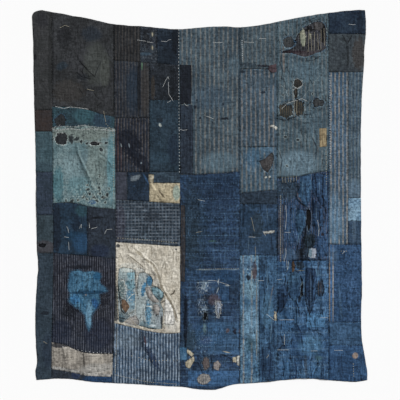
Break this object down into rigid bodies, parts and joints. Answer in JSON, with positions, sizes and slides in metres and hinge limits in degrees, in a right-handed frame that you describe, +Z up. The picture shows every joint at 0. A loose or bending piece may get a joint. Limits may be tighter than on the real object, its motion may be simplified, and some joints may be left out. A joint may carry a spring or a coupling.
{
  "type": "boro patched cloth",
  "caption": "Worn indigo bed cover pieced from cotton panels and patches, lying flat with its tears and soft folds.",
  "frame": {"origin": "middle of the cloth's box, on the surface that it lies on", "axes": "+Z up, away from the surface; +Y towards the cloth's head end, the top of the picture; +X to the right of the face"},
  "size_m": [1.6752, 1.899, 0.02],
  "materials": {
    "charcoal_cotton": "matte",
    "brown_black_cotton": "matte",
    "slate_cotton": "matte",
    "navy_cotton": "matte",
    "deep_navy_cotton": "matte",
    "indigo_cotton": "matte",
    "blue_cotton": "matte",
    "pale_teal_cotton": "matte",
    "grey_blue_cotton": "matte",
    "violet_grey_cotton": "matte",
    "cream_cotton": "matte",
    "beige_cotton": "matte",
    "ticking_cotton": "matte",
    "sewing_thread": "matte"
  },
  "bodies": {
    "root": {"border_charcoal": "charcoal_cotton", "border_brown": "brown_black_cotton", "border_slate": "slate_cotton", "border_navy": "navy_cotton", "border_green": "charcoal_cotton", "border_dark": "navy_cotton", "charcoal_panel": "charcoal_cotton", "teal_band": "slate_cotton", "light_patch": "pale_teal_cotton", "navy_patch": "indigo_cotton", "charcoal_patch": "navy_cotton", "fine_stripe_patch": "deep_navy_cotton", "beige_patch": "beige_cotton", "hem_strip": "indigo_cotton", "brown_striped_panel": "brown_black_cotton", "speckled_patch": "charcoal_cotton", "navy_top_patch": "navy_cotton", "striped_panel": "deep_navy_cotton", "dark_speckled_patch": "deep_navy_cotton", "navy_teal_patch": "navy_cotton", "striped_patch": "navy_cotton", "violet_block": "violet_grey_cotton", "navy_block": "navy_cotton", "blue_grey_band": "grey_blue_cotton", "small_cream_patch": "cream_cotton", "check_patch": "navy_cotton", "cream_patch": "cream_cotton", "ticking_patch": "ticking_cotton", "wide_striped_panel": "grey_blue_cotton", "indigo_panel": "indigo_cotton", "plain_panel": "grey_blue_cotton", "strong_striped_panel": "grey_blue_cotton", "lower_striped_panel": "grey_blue_cotton", "dark_piece": "deep_navy_cotton", "indigo_piece": "indigo_cotton", "light_striped_strip": "blue_cotton", "blue_strip": "blue_cotton", "grey_blue_panel": "grey_blue_cotton", "torn_panel": "navy_cotton", "navy_panel": "indigo_cotton", "navy_corner": "navy_cotton", "charcoal_brown_patch": "charcoal_cotton", "tan_striped_strip": "grey_blue_cotton", "grey_striped_strip": "grey_blue_cotton", "right_light_patch": "blue_cotton", "right_indigo_block": "indigo_cotton", "right_indigo_panel": "indigo_cotton", "right_light_band": "blue_cotton", "lower_corner": "indigo_cotton"}
  },
  "joints": []
}
